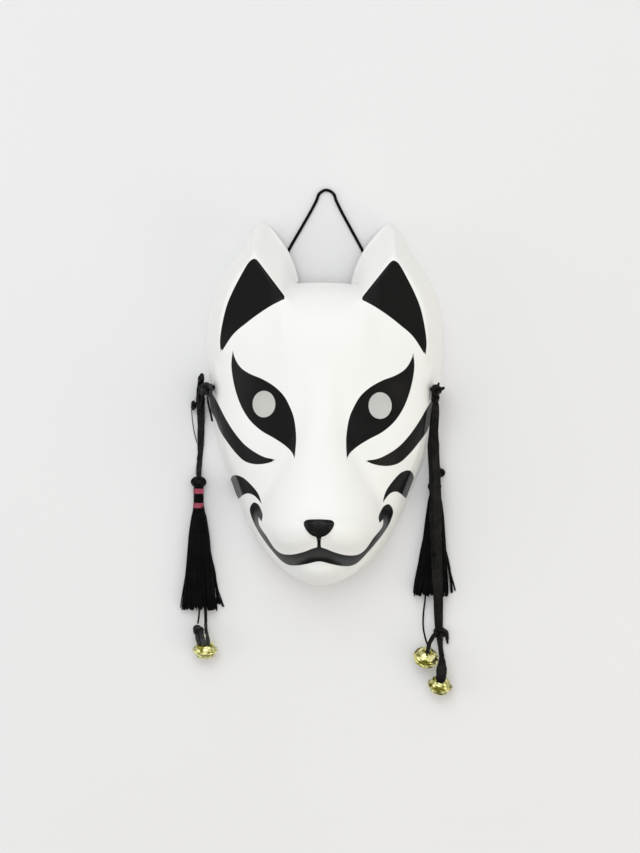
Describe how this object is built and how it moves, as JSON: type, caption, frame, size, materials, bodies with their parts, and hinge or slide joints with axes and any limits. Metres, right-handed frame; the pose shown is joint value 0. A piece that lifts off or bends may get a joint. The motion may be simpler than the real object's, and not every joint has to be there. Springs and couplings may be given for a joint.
{
  "type": "kitsune mask",
  "caption": "Moulded fox face mask with raised ears, open eye holes, an elastic head strap, and a tassel with jingle bells hanging at each temple.",
  "frame": {"origin": "on the surface that the rim lies on, under the middle of the mask's own outline", "axes": "+Y from the chin to the ears, +Z out of the face, +X to the right as the face is seen"},
  "size_m": [0.1893, 0.3531, 0.088],
  "materials": {
    "shell": "moulded plastic, gloss white with hand-painted gloss black",
    "elastic": "braided round elastic",
    "ribbon": "crumpled satin ribbon and cord",
    "tassel": "rayon thread",
    "band": "wound pink-red thread",
    "bell": "bright pressed brass"
  },
  "bodies": {
    "root": {"mask": "shell", "head_strap": "elastic", "left_hanger_ribbon": "ribbon", "left_hanger_knot": "ribbon", "left_side_knot": "ribbon", "left_bell_cord": "ribbon", "left_bell_thread": "ribbon", "left_bell_knot": "ribbon", "right_hanger_knot": "ribbon", "right_ribbon": "ribbon", "right_side_knot": "ribbon", "right_bell_cord": "ribbon", "right_ribbon_knot": "ribbon", "left_tassel_head": "tassel", "left_tassel_skirt": "tassel", "right_tassel_head": "tassel", "right_tassel_skirt": "tassel", "left_tassel_band_upper": "band", "left_tassel_band_lower": "band", "left_bell": "bell", "right_bell_upper": "bell", "right_bell_lower": "bell"}
  },
  "joints": []
}
